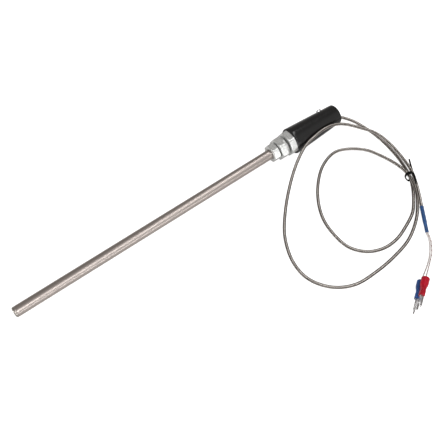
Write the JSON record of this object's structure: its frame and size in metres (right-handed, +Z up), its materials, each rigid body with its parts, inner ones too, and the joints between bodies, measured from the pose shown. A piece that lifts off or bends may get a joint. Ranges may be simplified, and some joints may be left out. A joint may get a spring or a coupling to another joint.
{
  "type": "thermocouple",
  "caption": "Rod thermocouple: long bare metal sheath, hexagon fittings, black tapered handle and a coiled metal-braided lead ending in two insulated fork terminals.",
  "frame": {"origin": "middle of the probe's length, on the ground it lies on", "axes": "+X along the probe from the sheath's tip to the handle, +Z up, +Y away from the coiled lead"},
  "size_m": [0.2324, 0.1287, 0.0162],
  "materials": {
    "stainless": "fine drawn, satin bright",
    "junction_alloy": "welded bead, dull",
    "wire_positive_alloy": "drawn wire",
    "wire_negative_alloy": "drawn wire",
    "ceramic": "unglazed",
    "potting": "cast resin",
    "plated_nut": "bright plated, slightly grainy",
    "washer_steel": "plated",
    "brass": "turned",
    "handle_black": "moulded, satin gloss",
    "screw_steel": "plated",
    "crimp_steel": "crimped",
    "grommet_rubber": "matte",
    "tinned_copper": "tin plated",
    "splice_red": "shrunk sleeve",
    "splice_blue": "shrunk sleeve",
    "glass_yarn_traced": "braided glass yarn with a red-brown tracer",
    "glass_yarn": "braided glass yarn",
    "steel_braid": "woven stainless wire",
    "shrink_blue": "heat-shrunk, satin",
    "sleeve_red": "moulded vinyl",
    "sleeve_blue": "moulded vinyl",
    "tie_black": "coated wire"
  },
  "bodies": {
    "probe": {"sheath_tube": "stainless", "sheath_tip_cap": "stainless", "measuring_junction": "junction_alloy", "element_wire_positive": "wire_positive_alloy", "element_wire_negative": "wire_negative_alloy", "insulator_bead_1": "ceramic", "insulator_bead_2": "ceramic", "insulator_bead_3": "ceramic", "insulator_bead_4": "ceramic", "insulator_bead_5": "ceramic", "insulator_bead_6": "ceramic", "sheath_seal": "potting", "fitting_body": "plated_nut", "front_ferrule": "brass", "handle_bushing": "brass", "handle_sleeve": "handle_black", "braid_crimp": "crimp_steel", "lead_grommet": "grommet_rubber", "splice_crimp_positive": "tinned_copper", "splice_crimp_negative": "tinned_copper", "fork_terminal_positive": "tinned_copper", "fork_terminal_negative": "tinned_copper", "splice_sleeve_positive": "splice_red", "splice_sleeve_negative": "splice_blue", "inner_core_positive": "glass_yarn_traced", "lead_core_positive": "glass_yarn_traced", "inner_core_negative": "glass_yarn", "lead_core_negative": "glass_yarn", "lead_braid": "steel_braid", "heat_shrink": "shrink_blue", "terminal_sleeve_positive": "sleeve_red", "terminal_sleeve_negative": "sleeve_blue", "twist_tie": "tie_black"},
    "back_ferrule_body": {"back_ferrule": "brass"},
    "compression_nut_body": {"compression_nut": "plated_nut"},
    "lock_washer_body": {"lock_washer": "washer_steel"},
    "lock_nut_body": {"lock_nut": "plated_nut"},
    "clamp_pad_body": {"clamp_pad": "brass"},
    "clamp_screw_body": {"clamp_screw": "screw_steel"}
  },
  "joints": [
    {"name": "back_ferrule_slide", "type": "slide", "parent": "probe", "child": "back_ferrule_body", "axis": [-0.9996, 0, -0.0283], "range_m": [0, 0.002]},
    {"name": "compression_nut_turn", "type": "hinge", "parent": "back_ferrule_body", "child": "compression_nut_body", "pos_m": [0.05938, 0, 0.0077], "axis": [-0.9996, 0, -0.0283], "range_deg": [0, 720]},
    {"name": "lock_washer_slide", "type": "slide", "parent": "probe", "child": "lock_washer_body", "axis": [-0.9996, 0, -0.0283], "range_m": [0, 0.001]},
    {"name": "lock_nut_turn", "type": "hinge", "parent": "lock_washer_body", "child": "lock_nut_body", "pos_m": [0.07073, 0, 0.00802], "axis": [-0.9996, 0, -0.0283], "range_deg": [0, 360]},
    {"name": "clamp_pad_slide", "type": "slide", "parent": "probe", "child": "clamp_pad_body", "axis": [-0.0174, 0.788, 0.6154], "range_m": [0, 0.0012]},
    {"name": "clamp_screw_turn", "type": "hinge", "parent": "clamp_pad_body", "child": "clamp_screw_body", "pos_m": [0.0985, 0.00552, 0.01312], "axis": [-0.0174, 0.788, 0.6154], "range_deg": [0, 1080]}
  ],
  "couplings": [
    {"joint": "compression_nut_turn", "follows": "back_ferrule_slide", "rad_per_m": 6283.2},
    {"joint": "lock_nut_turn", "follows": "lock_washer_slide", "rad_per_m": 6283.2},
    {"joint": "clamp_screw_turn", "follows": "clamp_pad_slide", "rad_per_m": 15708}
  ]
}
